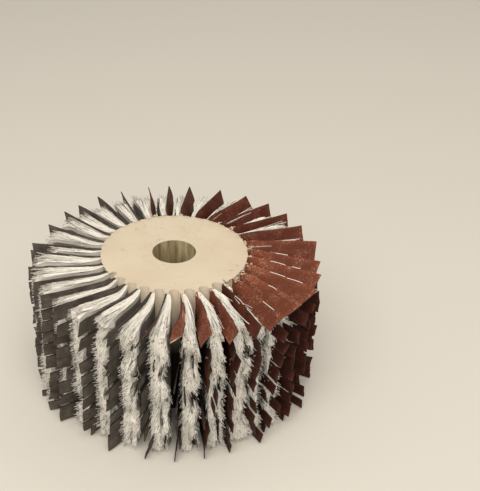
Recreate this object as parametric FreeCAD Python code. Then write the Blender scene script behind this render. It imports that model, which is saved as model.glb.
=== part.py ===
# Abrasive cloth brush: a cast resin hub with a bore, a fluted rim and rows of slit abrasive
# cloth, each row backed by a pack of crimped fibre. The cloth and the fibre are cast into the
# lands between the flutes. Millimetres, Z along the bore, Z = 0 at the hub's lower end.
#
# In a row's own frame X points outwards, Y points anticlockwise seen from above, and the
# parting plane between cloth and fibre is parallel to X. The grit faces clockwise.
import FreeCAD
import Part
import math
import os
import random
from FreeCAD import Vector

# Hub
HUB_DIAMETER = 100.0
HUB_WIDTH = 100.0
BORE_DIAMETER = 30.0
FLUTE_WIDTH = 6.8
FLUTE_DEPTH = 3.8

# Rows
FREE_LENGTH = 50.0           # cloth outside the rim, so the brush is 200 mm across
ROW_COUNT = 32
ROWS_PER_PACK_NODE = 2
CAST_SKIN = 1.0              # resin over the upper and lower edge of each cast-in row
ROW_STRAIGHT = 1.0           # how far a row leaves the rim before it bends

# Abrasive cloth
CLOTH_THICKNESS = 0.9
CLOTH_ROOT_DEPTH = 12.5      # how far the cloth reaches into the resin
UNCUT_REACH = 6.0            # cloth left whole between the bend and the slits
FINGER_WIDTH = 9.8
TOP_FINGER_WIDTH = 13.0      # the top finger of each row is the widest
SMALLEST_FINGER = 5.0
SLIT_OPENING = 1.0           # how far neighbours part at their tips

# Fibre pack
FIBRE_SETBACK = 9.0          # how far the fibre ends inside the cloth's tips
FIBRE_ROOT_DEPTH = 4.0
FIBRE_ROOT_THICKNESS = 0.8
FIBRE_TIP_THICKNESS = 11.0
TUFT_PITCH = 14.0
TUFT_DEPTH = 3.5
SHOULDER_HEIGHT = 5.0        # the upper outer corner of a free pack is rounded by this much
PRESSED_HEIGHT = 16.5        # and by this much under a finger that is turned furthest
SHOULDER_LENGTH = 25.0
SHOULDER_STEPS = 3

# Running room
ROW_CLEARANCE = 0.8          # kept between a row's fingers and the next row's fibre
FIBRE_SHARE = 0.58           # most of the space between rows that fibre may take

# How the rows lie. Each station is an azimuth and how far the tips of the rows there trail
# clockwise of their roots, both in degrees. The brush was stored on its side, so the rows
# of the +X side are laid over.
TRAIL_STATIONS_DEG = (
    (-180, 5), (-174, 8), (-157, 5.5), (-129, 10), (-118, 7), (-84, 6), (-62, 7), (-39, 13),
    (6, 12.5), (17, 8), (51, 6), (73, 4), (84, 1), (107, 5), (118, 3.5), (141, 4), (152, 7.5),
    (163, 6.5), (174, 1.5), (180, 5),
)
# How far the top finger of a row turns its grit up, in degrees. It hangs by its upper edge,
# and where it turns most it lies on the shoulder of the fibre in front of it.
TOP_TURN_STATIONS_DEG = (
    (-180, 3), (-110, 5), (-95, 25), (-80, 46), (-62, 50), (-51, 34), (-39, 30), (-28, 50),
    (40, 50), (66, 40), (85, 20), (96, 34), (107, 30), (120, 5), (180, 3),
)
TURN_SPREAD_DEG = 9.0        # by which the turn of each lower finger varies
LOWER_TURN_SHARE = 0.35      # most of the top finger's turn that a lower one takes
MOST_LEAN_DEG = 5.0          # by which a finger may lean away from its fibre
SHORTEST_SHARE = 0.965       # length of the most worn finger as a share of the full length
TUFT_VARIATION = 1.2
SEED = 7

HUB_RADIUS = HUB_DIAMETER / 2
TIP_RADIUS = HUB_RADIUS + FREE_LENGTH
FIBRE_RADIUS = TIP_RADIUS - FIBRE_SETBACK
ROW_PITCH_DEG = 360.0 / ROW_COUNT
ROW_BOTTOM = CAST_SKIN
ROW_TOP = HUB_WIDTH - CAST_SKIN
ROW_HEIGHT = ROW_TOP - ROW_BOTTOM
PARTING_Y = (CLOTH_THICKNESS - FIBRE_ROOT_THICKNESS) / 2
BEND_X = HUB_RADIUS + ROW_STRAIGHT
Z_AXIS = Vector(0, 0, 1)


def row_azimuth(row):
    """Azimuth in degrees of a row, counted anticlockwise from the front of the +X side."""
    azimuth = (row + 0.5) * ROW_PITCH_DEG
    return azimuth if azimuth <= 180.0 else azimuth - 360.0


def at_station(stations, azimuth):
    """Value between the two stations on either side of an azimuth."""
    for (low, low_value), (high, high_value) in zip(stations, stations[1:]):
        if low <= azimuth <= high:
            return low_value + (high_value - low_value) * (azimuth - low) / (high - low)
    raise ValueError("azimuth outside the stations")


def heading(degrees):
    """Unit vector in the XY plane."""
    return Vector(math.cos(math.radians(degrees)), math.sin(math.radians(degrees)), 0)


def reach(start, direction, radius):
    """Distance from a point along a unit direction to the cylinder of that radius."""
    along = start.dot(direction)
    return -along + math.sqrt(along ** 2 + radius ** 2 - start.dot(start))


def row_lean(row):
    """Angle in degrees, clockwise negative, that a row's plane turns at the rim."""
    trail = at_station(TRAIL_STATIONS_DEG, row_azimuth(row))
    tip = heading(-trail) * TIP_RADIUS
    return math.degrees(math.atan2(tip.y - PARTING_Y, tip.x - BEND_X))


def space_to_next(row):
    """Distance at the fibre's ends from a row's plane to the plane of the next row."""
    tips = []
    for index in (row, (row + 1) % ROW_COUNT):
        start = Vector(BEND_X, PARTING_Y, 0)
        direction = heading(row_lean(index))
        tip = start + direction * reach(start, direction, FIBRE_RADIUS)
        turn = FreeCAD.Rotation(Z_AXIS, row_azimuth(index))
        tips.append((turn.multVec(tip), turn.multVec(direction)))
    (tip, direction), (next_tip, _) = tips
    return abs((next_tip - tip).cross(direction).z)


def fibre_thickness(row):
    """Thickness of a row's fibre at its ends, squeezed where the rows lie close."""
    return min(FIBRE_TIP_THICKNESS, FIBRE_SHARE * space_to_next(row))


def finger_room(row):
    """How far a row's cloth may stand off its own plane before it meets the row in front."""
    front = (row - 1) % ROW_COUNT
    return space_to_next(front) - fibre_thickness(front) - CLOTH_THICKNESS - ROW_CLEARANCE


def flat_prism(points, height, bottom=0.0):
    """Solid over a closed plan outline."""
    ring = [Vector(point.x, point.y, bottom) for point in points]
    return Part.Face(Part.makePolygon(ring + ring[:1])).extrude(Vector(0, 0, height))


def mitre(corner, before, after, offset):
    """Point beside a bend, at an offset to the clockwise side of both headings."""
    side_before = Vector(before.y, -before.x, 0)
    side_after = Vector(after.y, -after.x, 0)
    return corner + (side_before + side_after) * (offset / (1 + side_before.dot(side_after)))


def make_hub():
    """Cast hub: a bored blank, fluted between the rows, with a cavity round each root."""
    blank = Part.makeCylinder(HUB_RADIUS, HUB_WIDTH)
    blank = blank.cut(Part.makeCylinder(BORE_DIAMETER / 2, HUB_WIDTH))
    cuts = []
    for row in range(ROW_COUNT):
        flute, cavity = make_flute(), make_root_cavity()
        flute.rotate(Vector(), Z_AXIS, row_azimuth(row) + ROW_PITCH_DEG / 2)
        cavity.rotate(Vector(), Z_AXIS, row_azimuth(row))
        cuts += [flute, cavity]
    return blank.cut(Part.makeCompound(cuts))


def make_flute():
    """Cutter for one round flute, along the whole hub, at azimuth 0."""
    radius = ((FLUTE_WIDTH / 2) ** 2 + FLUTE_DEPTH ** 2) / (2 * FLUTE_DEPTH)
    centre_x = HUB_RADIUS - FLUTE_DEPTH + radius
    return Part.makeCylinder(radius, HUB_WIDTH, Vector(centre_x, 0, 0))


def make_root_cavity():
    """Cutter for the resin that the roots of one row push aside, at azimuth 0."""
    outside_x = HUB_RADIUS + ROW_STRAIGHT
    cloth = Part.makeBox(
        outside_x - HUB_RADIUS + CLOTH_ROOT_DEPTH, CLOTH_THICKNESS, ROW_HEIGHT,
        Vector(HUB_RADIUS - CLOTH_ROOT_DEPTH, PARTING_Y - CLOTH_THICKNESS, ROW_BOTTOM))
    fibre = Part.makeBox(
        outside_x - HUB_RADIUS + FIBRE_ROOT_DEPTH, FIBRE_ROOT_THICKNESS, ROW_HEIGHT,
        Vector(HUB_RADIUS - FIBRE_ROOT_DEPTH, PARTING_Y, ROW_BOTTOM))
    return cloth.fuse(fibre)


def make_uncut_cloth(direction):
    """Root of a row's cloth, from inside the resin round the bend to where the slits start."""
    corner = Vector(BEND_X, PARTING_Y, 0)
    side = Vector(direction.y, -direction.x, 0)
    slit_start = corner + direction * UNCUT_REACH
    root_x = HUB_RADIUS - CLOTH_ROOT_DEPTH
    return flat_prism([
        Vector(root_x, PARTING_Y, 0),
        Vector(root_x, PARTING_Y - CLOTH_THICKNESS, 0),
        mitre(corner, Vector(1, 0, 0), direction, CLOTH_THICKNESS),
        slit_start + side * CLOTH_THICKNESS,
        slit_start,
        corner,
    ], ROW_HEIGHT, ROW_BOTTOM)


def cross_section(centre, across, normal, width):
    """Four corners of a finger's section: back lower, back upper, grit upper, grit lower."""
    back_low = centre - across * (width / 2)
    back_high = centre + across * (width / 2)
    grit = normal * CLOTH_THICKNESS
    return [back_low, back_high, back_high + grit, back_low + grit]


def facet(*points):
    """Flat face through three or four corners."""
    return Part.Face(Part.makePolygon(list(points) + [points[0]]))


def make_finger(low, high, lean, stand_off, turn, length_share, hangs):
    """One finger between two slits, twisting out of the row's plane to a square end.

    A finger that hangs keeps its upper edge level, and any other turns about its middle.
    """
    width = high - low
    row_heading = heading(lean)
    row_side = Vector(row_heading.y, -row_heading.x, 0)
    slit_start = Vector(BEND_X, PARTING_Y, 0) + row_heading * UNCUT_REACH
    direction = heading(lean - stand_off)
    side = Vector(direction.y, -direction.x, 0)
    across = Z_AXIS * math.cos(math.radians(turn)) - side * math.sin(math.radians(turn))
    normal = side * math.cos(math.radians(turn)) + Z_AXIS * math.sin(math.radians(turn))
    length = reach(slit_start, direction, TIP_RADIUS) * length_share
    tip_width = width - SLIT_OPENING
    middle = slit_start + Z_AXIS * ((low + high) / 2)
    swing = side * (width / 2 * abs(math.sin(math.radians(turn))))
    rise = Z_AXIS * (tip_width / 2 * (1 - math.cos(math.radians(turn)))) if hangs else Vector()
    root = cross_section(middle, Z_AXIS, row_side, width)
    tip = cross_section(middle + direction * length + swing + rise, across, normal, tip_width)
    faces = [facet(*reversed(root)), facet(*tip)]
    for here, there in ((0, 1), (1, 2), (2, 3), (3, 0)):
        faces.append(facet(root[here], root[there], tip[there]))
        faces.append(facet(root[here], tip[there], tip[here]))
    return Part.Solid(Part.Shell(faces))


def slit_heights(dice):
    """Heights of a row's slits, with its two ends. The slits of neighbouring rows stagger."""
    heights = [ROW_TOP]
    height = ROW_TOP - TOP_FINGER_WIDTH * dice.uniform(0.9, 1.05)
    while height > ROW_BOTTOM + SMALLEST_FINGER:
        heights.append(height)
        height -= FINGER_WIDTH * dice.uniform(0.9, 1.1)
    return heights + [ROW_BOTTOM]


def lower_turn(turn_here, width, room, dice):
    """Turn of a finger below the top one, as far as the fibre in front leaves room."""
    turn = turn_here * LOWER_TURN_SHARE * dice.uniform(0.0, 1.0)
    turn += TURN_SPREAD_DEG * dice.uniform(-1, 1)
    most = math.degrees(math.asin(min(1.0, room / width)))
    return max(-most, min(most, turn))


def make_strip(row, dice):
    """Abrasive cloth of one row, slit into fingers that each lean and turn by themselves."""
    lean = row_lean(row)
    turn_here = at_station(TOP_TURN_STATIONS_DEG, row_azimuth(row))
    room = finger_room(row)
    heights = slit_heights(dice)
    fingers = []
    for order, (high, low) in enumerate(zip(heights, heights[1:])):
        top = order == 0
        turn = turn_here if top else lower_turn(turn_here, high - low, room, dice)
        room_left = 0.0 if top else room - (high - low) * abs(math.sin(math.radians(turn)))
        most_lean = math.degrees(math.asin(min(1.0, room_left / FREE_LENGTH)))
        stand_off = dice.uniform(0, min(MOST_LEAN_DEG, most_lean))
        length_share = dice.uniform(SHORTEST_SHARE, 1.0)
        fingers.append(make_finger(low, high, lean, stand_off, turn, length_share, top))
    strip = make_uncut_cloth(heading(lean)).multiFuse(fingers)
    strip.rotate(Vector(), Z_AXIS, row_azimuth(row))
    return strip


def tuft_outline(length, shoulder, dice):
    """Side view of a fibre pack: straight at the root, tufted at its ends, round-shouldered."""
    tufted_height = ROW_HEIGHT - shoulder
    tufts = max(1, round(tufted_height / TUFT_PITCH))
    pitch = tufted_height / tufts
    end_x = BEND_X + length
    points = [Vector(0, 0, ROW_BOTTOM)]
    for tuft in range(tufts):
        low = ROW_BOTTOM + tuft * pitch
        valley = end_x - TUFT_DEPTH - dice.uniform(0, TUFT_VARIATION)
        peak = end_x - dice.uniform(0, TUFT_VARIATION)
        points.append(Vector(valley, 0, low))
        points.append(Vector(peak, 0, low + pitch * dice.uniform(0.2, 0.4)))
    for step in range(SHOULDER_STEPS + 1):
        angle = math.radians(90.0 * step / SHOULDER_STEPS)
        inwards = TUFT_DEPTH + (SHOULDER_LENGTH - TUFT_DEPTH) * (1 - math.cos(angle))
        points.append(Vector(end_x - inwards, 0,
                             ROW_TOP - shoulder * (1 - math.sin(angle))))
    points.append(Vector(0, 0, ROW_TOP))
    return points


def shoulder_height(row):
    """How far a pack is pressed down at its ends by the finger that lies on it."""
    following = (row + 1) % ROW_COUNT
    turn = at_station(TOP_TURN_STATIONS_DEG, row_azimuth(following))
    most = max(station_turn for _, station_turn in TOP_TURN_STATIONS_DEG)
    return SHOULDER_HEIGHT + (PRESSED_HEIGHT - SHOULDER_HEIGHT) * turn / most


def make_fibre_pack(row, dice):
    """Fibre behind one row's cloth: pinched at the rim and splayed towards its tufts."""
    lean = row_lean(row)
    direction = heading(lean)
    corner = Vector(BEND_X, PARTING_Y, 0)
    back = Vector(-direction.y, direction.x, 0)
    length = reach(corner, direction, FIBRE_RADIUS)
    end = corner + direction * length
    root_x = HUB_RADIUS - FIBRE_ROOT_DEPTH
    plan = flat_prism([
        Vector(root_x, PARTING_Y, 0),
        corner,
        end,
        end + back * fibre_thickness(row),
        mitre(corner, Vector(1, 0, 0), direction, -FIBRE_ROOT_THICKNESS),
        Vector(root_x, PARTING_Y + FIBRE_ROOT_THICKNESS, 0),
    ], ROW_HEIGHT, ROW_BOTTOM)
    outline = tuft_outline(length, shoulder_height(row), dice)
    depth = TIP_RADIUS
    side_view = Part.Face(Part.makePolygon(outline + outline[:1]))
    side_view.translate(Vector(0, -depth, 0))
    side_view = side_view.extrude(Vector(0, 2 * depth, 0))
    side_view.translate(Vector(-BEND_X, -PARTING_Y, 0))
    side_view.rotate(Vector(), Z_AXIS, lean)
    side_view.translate(corner)
    pack = plan.common(side_view)
    pack.rotate(Vector(), Z_AXIS, row_azimuth(row))
    return pack


def export(name, shape):
    """Write one node and say what it holds."""
    for solid in shape.Solids:
        if not solid.isValid() or solid.Volume <= 0:
            raise RuntimeError("bad solid in " + name)
    shape.exportStep("parts/" + name + ".step")
    print(name, len(shape.Solids), "solids", round(shape.Volume), "mm3")


def main():
    """Make every piece and write it."""
    os.makedirs("parts", exist_ok=True)
    dice = random.Random(SEED)
    export("hub", make_hub())
    packs = []
    for row in range(ROW_COUNT):
        export("abrasive_strip_%02d" % (row + 1), make_strip(row, dice))
        packs.append(make_fibre_pack(row, dice))
    for first in range(0, ROW_COUNT, ROWS_PER_PACK_NODE):
        group = packs[first:first + ROWS_PER_PACK_NODE]
        name = "fibre_packs_%02d_%02d" % (first + 1, first + len(group))
        export(name, Part.makeCompound(group))


main()
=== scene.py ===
"""Looks of an abrasive cloth brush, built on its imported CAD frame.

The hub of cast resin keeps its CAD shape and gets a finish. Each CAD strip of abrasive cloth
is replaced by curved fingers with a grit side, a cloth side and cut edges, and each CAD wedge
of fibre by a furry pack of crimped fibre. Sizes are in millimetres until a mesh is made.

In a row's own frame X points outwards from the bore, Y anticlockwise and Z along the bore.
The grit faces clockwise, and the fibre lies on the anticlockwise side of its cloth.
"""
from __future__ import annotations

import logging
import math
import random
from collections.abc import Callable, Iterable
from dataclasses import dataclass, field, replace
from enum import Enum, IntEnum

import bpy
from mathutils import Matrix, Quaternion, Vector, noise

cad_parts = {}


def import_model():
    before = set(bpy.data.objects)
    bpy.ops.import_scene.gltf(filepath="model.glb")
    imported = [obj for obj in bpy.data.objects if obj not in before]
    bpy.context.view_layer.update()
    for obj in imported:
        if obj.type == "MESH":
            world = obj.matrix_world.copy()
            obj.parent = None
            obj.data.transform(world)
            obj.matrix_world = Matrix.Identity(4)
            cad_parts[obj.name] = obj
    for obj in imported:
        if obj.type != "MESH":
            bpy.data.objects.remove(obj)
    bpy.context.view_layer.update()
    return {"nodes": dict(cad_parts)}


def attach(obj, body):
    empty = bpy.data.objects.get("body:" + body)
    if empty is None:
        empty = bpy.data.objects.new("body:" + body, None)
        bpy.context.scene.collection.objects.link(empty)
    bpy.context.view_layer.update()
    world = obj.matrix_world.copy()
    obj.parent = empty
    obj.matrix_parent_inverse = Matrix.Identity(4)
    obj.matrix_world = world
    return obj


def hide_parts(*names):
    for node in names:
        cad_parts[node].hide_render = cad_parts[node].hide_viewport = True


LOG = logging.getLogger("brush")
MM = 0.001
BODY = "root"
UP = Vector((0, 0, 1))


class Slot(Enum):
    """Material slots of the record."""

    RESIN = "cast_resin"
    CLOTH = "abrasive_cloth"
    FIBRE = "crimped_fibre"


class ClothFace(IntEnum):
    """Places in a strip's list of materials."""

    GRIT = 0
    BACKING = 1
    CUT = 2


def linear(hex_colour: str) -> tuple[float, float, float, float]:
    """Turn an sRGB hex colour into linear light.

    Args:
        hex_colour: Six hex digits with a leading number sign.

    Returns:
        Linear red, green, blue and an alpha of one.
    """
    parts = [int(hex_colour[start:start + 2], 16) / 255 for start in (1, 3, 5)]
    light = [part / 12.92 if part <= 0.04045 else ((part + 0.055) / 1.055) ** 2.4
             for part in parts]
    return light[0], light[1], light[2], 1.0


def blend(stations: tuple[tuple[float, float], ...], at: float) -> float:
    """Read a value between stations that are given in rising order.

    Args:
        stations: Pairs of a place and the value there.
        at: Place to read, held to the first and the last station.

    Returns:
        The value at that place, on a straight line between its neighbours.
    """
    if at <= stations[0][0]:
        return stations[0][1]
    for (low, low_value), (high, high_value) in zip(stations, stations[1:]):
        if at <= high:
            return low_value + (high_value - low_value) * (at - low) / (high - low)
    return stations[-1][1]


def smooth(low: float, high: float, at: float) -> float:
    """Rise smoothly from nought at low to one at high."""
    share = min(1.0, max(0.0, (at - low) / (high - low)))
    return share * share * (3 - 2 * share)


def add_node(tree: bpy.types.NodeTree, kind: str, inputs: dict | None = None,
             **settings: object) -> bpy.types.Node:
    """Add a node, set it up and link it.

    Args:
        tree: Shader or geometry tree.
        kind: Node type as the program names it.
        inputs: Socket name or number, with the value or the socket that feeds it.
        settings: Properties of the node itself.

    Returns:
        The new node.
    """
    node = tree.nodes.new(kind)
    for name, value in settings.items():
        setattr(node, name, value)
    for key, value in (inputs or {}).items():
        if isinstance(value, bpy.types.NodeSocket):
            tree.links.new(value, node.inputs[key])
        else:
            node.inputs[key].default_value = value
    return node


def ramp(tree: bpy.types.NodeTree, factor: bpy.types.NodeSocket,
         stops: tuple[tuple[float, str], ...]) -> bpy.types.NodeSocket:
    """Map a factor to colours.

    Args:
        tree: Shader tree.
        factor: Socket between nought and one.
        stops: Places and sRGB hex colours.

    Returns:
        The colour socket.
    """
    node = add_node(tree, "ShaderNodeValToRGB", {"Fac": factor})
    elements = node.color_ramp.elements
    while len(elements) < len(stops):
        elements.new(0.5)
    for element, (place, colour) in zip(elements, stops):
        element.position = place
        element.color = linear(colour)
    return node.outputs["Color"]


def mix(tree: bpy.types.NodeTree, share: object, first: object, second: object,
        **settings: object) -> bpy.types.NodeSocket:
    """Mix two colours.

    Args:
        tree: Shader tree.
        share: How much of the second colour shows, as a number or a socket.
        first: Colour at a share of nought.
        second: Colour at a share of one.
        settings: Other properties of the node.

    Returns:
        The colour socket.
    """
    return add_node(tree, "ShaderNodeMix", {0: share, 6: first, 7: second},
                    data_type="RGBA", **settings).outputs[2]


def new_material(name: str) -> tuple[bpy.types.Material, bpy.types.NodeTree, bpy.types.Node]:
    """Make a material whose tree holds one surface shader.

    Args:
        name: What the finish is called.

    Returns:
        The material, its tree and its shader node.
    """
    material = bpy.data.materials.new(name)
    material.use_nodes = True
    tree = material.node_tree
    tree.nodes.clear()
    shader = add_node(tree, "ShaderNodeBsdfPrincipled")
    add_node(tree, "ShaderNodeOutputMaterial", {"Surface": shader.outputs["BSDF"]})
    return material, tree, shader


def shaded(tree: bpy.types.NodeTree, colour: bpy.types.NodeSocket, dark: str
           ) -> bpy.types.NodeSocket:
    """Darken cloth deep between the rows and along the slits.

    Args:
        tree: Shader tree.
        colour: Colour of the cloth in the open.
        dark: sRGB hex colour of what little light reaches.

    Returns:
        The colour socket.
    """
    seen = add_node(tree, "ShaderNodeAttribute", attribute_name="seen").outputs["Fac"]
    edge = add_node(tree, "ShaderNodeAttribute", attribute_name="edge").outputs["Fac"]
    edge = add_node(tree, "ShaderNodeMath", {0: edge}, operation="ABSOLUTE").outputs[0]
    inner = add_node(tree, "ShaderNodeMapRange", {
        "Value": edge, 1: 0.82, 2: 0.98, 3: 1.0, 4: 0.25}).outputs["Result"]
    share = add_node(tree, "ShaderNodeMath", {0: seen, 1: inner}, operation="MULTIPLY")
    return mix(tree, share.outputs[0], linear(dark), colour)


def grow_piece(source: bpy.types.Mesh, name: str, tree: bpy.types.NodeTree,
               inputs: dict[str, object]) -> bpy.types.Object:
    """Run geometry nodes on a mesh and keep what they make as a plain mesh.

    Args:
        source: Mesh that the nodes start from.
        name: Name of the new object.
        tree: The geometry nodes.
        inputs: Values of the tree's inputs, by socket identifier.

    Returns:
        The new object.
    """
    ghost = bpy.data.objects.new(name + "_source", source)
    bpy.context.scene.collection.objects.link(ghost)
    modifier = ghost.modifiers.new("grown", "NODES")
    modifier.node_group = tree
    for identifier, value in inputs.items():
        modifier[identifier] = value
    graph = bpy.context.evaluated_depsgraph_get()
    mesh = bpy.data.meshes.new_from_object(ghost.evaluated_get(graph))
    mesh.name = name
    ghost.modifiers.remove(modifier)
    bpy.data.objects.remove(ghost)
    piece = bpy.data.objects.new(name, mesh)
    bpy.context.scene.collection.objects.link(piece)
    return piece


@dataclass(frozen=True)
class CastResinFinish:
    """Cream polyester resin, cast in an open mould: satin, faintly mottled and scratched."""

    name: str = "cast_resin_satin"
    clean: str = "#e1d5c0"
    stained: str = "#dacbb3"
    # Bore wall: painted shade, darker than the resin; the middle colour also tints the scratches.
    bore: str = "#ab9c7d"
    bore_shade_low: str = "#877959"
    bore_shade_high: str = "#c6b898"
    # Flute walls: painted light high up, lighter than the resin, and painted shade (deep) low
    # down.
    flute_light_and_shade: str = "#ece2d0"
    deep: str = "#2b241b"
    mottle_mm: float = 30.0
    scratch_mm: float = 22.0
    bore_radius_mm: float = 15.4
    flute_radius_mm: float = 45.0
    shaded_to_mm: float = 48.0    # height up to which the flutes are painted dark, as their shade
    lit_from_mm: float = 78.0
    drawn_turn: tuple[float, float, float] = (0.5, 0.7, 0.0)
    drawn_per_metre: tuple[float, float, float] = (340.0, 60.0, 40.0)

    def build(self) -> bpy.types.Material:
        """Make the material, on Object coordinates."""
        material, tree, shader = new_material(self.name)
        place = add_node(tree, "ShaderNodeTexCoord").outputs["Object"]
        mottle = add_node(tree, "ShaderNodeTexNoise", {
            "Vector": place, "Scale": 1 / (self.mottle_mm * MM), "Detail": 5.0})
        colour = ramp(tree, mottle.outputs["Fac"], ((0.35, self.stained), (0.62, self.clean)))
        # Hairline scratches: the thin edges of a warped cell pattern, kept only in patches.
        warp = add_node(tree, "ShaderNodeTexNoise", {"Vector": place, "Scale": 60.0})
        moved = add_node(tree, "ShaderNodeMix", {
            0: 0.06, 4: place, 5: warp.outputs["Color"]}, data_type="VECTOR")
        cells = add_node(tree, "ShaderNodeTexVoronoi", {
            "Vector": moved.outputs[1], "Scale": 1 / (self.scratch_mm * MM)},
            feature="DISTANCE_TO_EDGE")
        line = add_node(tree, "ShaderNodeMapRange", {
            "Value": cells.outputs["Distance"], 1: 0.0, 2: 0.012, 3: 1.0, 4: 0.0})
        patch = add_node(tree, "ShaderNodeTexNoise", {"Vector": place, "Scale": 45.0})
        kept = add_node(tree, "ShaderNodeMapRange", {
            "Value": patch.outputs["Fac"], 1: 0.47, 2: 0.58, 3: 0.0, 4: 0.7})
        scratch = add_node(tree, "ShaderNodeMath", {
            0: line.outputs["Result"], 1: kept.outputs["Result"]}, operation="MULTIPLY")
        colour = mix(tree, scratch.outputs[0], colour, linear(self.bore))
        # The bore wall is painted darker, as the shade inside it, and the flute walls get painted
        # light and shade.
        flat = add_node(tree, "ShaderNodeVectorMath", {0: place, 1: (1, 1, 0)},
                        operation="MULTIPLY")
        radius = add_node(tree, "ShaderNodeVectorMath", {0: flat.outputs[0]},
                          operation="LENGTH").outputs["Value"]
        in_bore = add_node(tree, "ShaderNodeMath", {
            0: radius, 1: self.bore_radius_mm * MM}, operation="LESS_THAN")
        normal = add_node(tree, "ShaderNodeNewGeometry").outputs["Normal"]
        rise = add_node(tree, "ShaderNodeSeparateXYZ", {0: normal}).outputs["Z"]
        level = add_node(tree, "ShaderNodeMath", {0: rise}, operation="ABSOLUTE")
        wall = add_node(tree, "ShaderNodeMath", {0: level.outputs[0], 1: 0.5},
                        operation="LESS_THAN")
        outside = add_node(tree, "ShaderNodeMath", {
            0: radius, 1: self.flute_radius_mm * MM}, operation="GREATER_THAN")
        in_flute = add_node(tree, "ShaderNodeMath", {
            0: wall.outputs[0], 1: outside.outputs[0]}, operation="MULTIPLY")
        bore_wall = add_node(tree, "ShaderNodeMath", {
            0: wall.outputs[0], 1: in_bore.outputs[0]}, operation="MULTIPLY")
        # Low down, the flutes are painted dark brown as the shade between the rows; high up,
        # lighter than the resin, as painted light.
        height = add_node(tree, "ShaderNodeSeparateXYZ", {0: place}).outputs["Z"]
        clear = add_node(tree, "ShaderNodeMapRange", {
            "Value": height, 1: self.shaded_to_mm * MM, 2: self.lit_from_mm * MM,
            3: 0.0, 4: 1.0})
        flute_light_and_shade = mix(tree, clear.outputs["Result"], linear(self.deep), linear(self.flute_light_and_shade))
        colour = mix(tree, in_flute.outputs[0], colour, flute_light_and_shade)
        # Slanting marks of the core that was drawn from the bore, over the bore's painted shade.
        drawn = add_node(tree, "ShaderNodeMapping", {
            "Vector": place, "Rotation": self.drawn_turn, "Scale": self.drawn_per_metre})
        film = add_node(tree, "ShaderNodeTexNoise", {"Vector": drawn.outputs["Vector"],
                                                     "Scale": 1.0, "Detail": 3.0})
        bore_shade_colour = ramp(tree, film.outputs["Fac"], (
            (0.36, self.bore_shade_low), (0.52, self.bore), (0.62, self.bore_shade_high)))
        colour = mix(tree, bore_wall.outputs[0], colour, bore_shade_colour)
        tree.links.new(colour, shader.inputs["Base Color"])
        gloss = add_node(tree, "ShaderNodeMapRange", {
            "Value": mottle.outputs["Fac"], 3: 0.42, 4: 0.58})
        tree.links.new(gloss.outputs["Result"], shader.inputs["Roughness"])
        shader.inputs["Specular IOR Level"].default_value = 0.2
        grain = add_node(tree, "ShaderNodeTexNoise", {
            "Vector": place, "Scale": 1 / (1.6 * MM), "Detail": 3.0})
        bump = add_node(tree, "ShaderNodeBump", {
            "Strength": 0.12, "Distance": 0.2 * MM, "Height": grain.outputs["Fac"]})
        tree.links.new(bump.outputs["Normal"], shader.inputs["Normal"])
        return material


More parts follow.
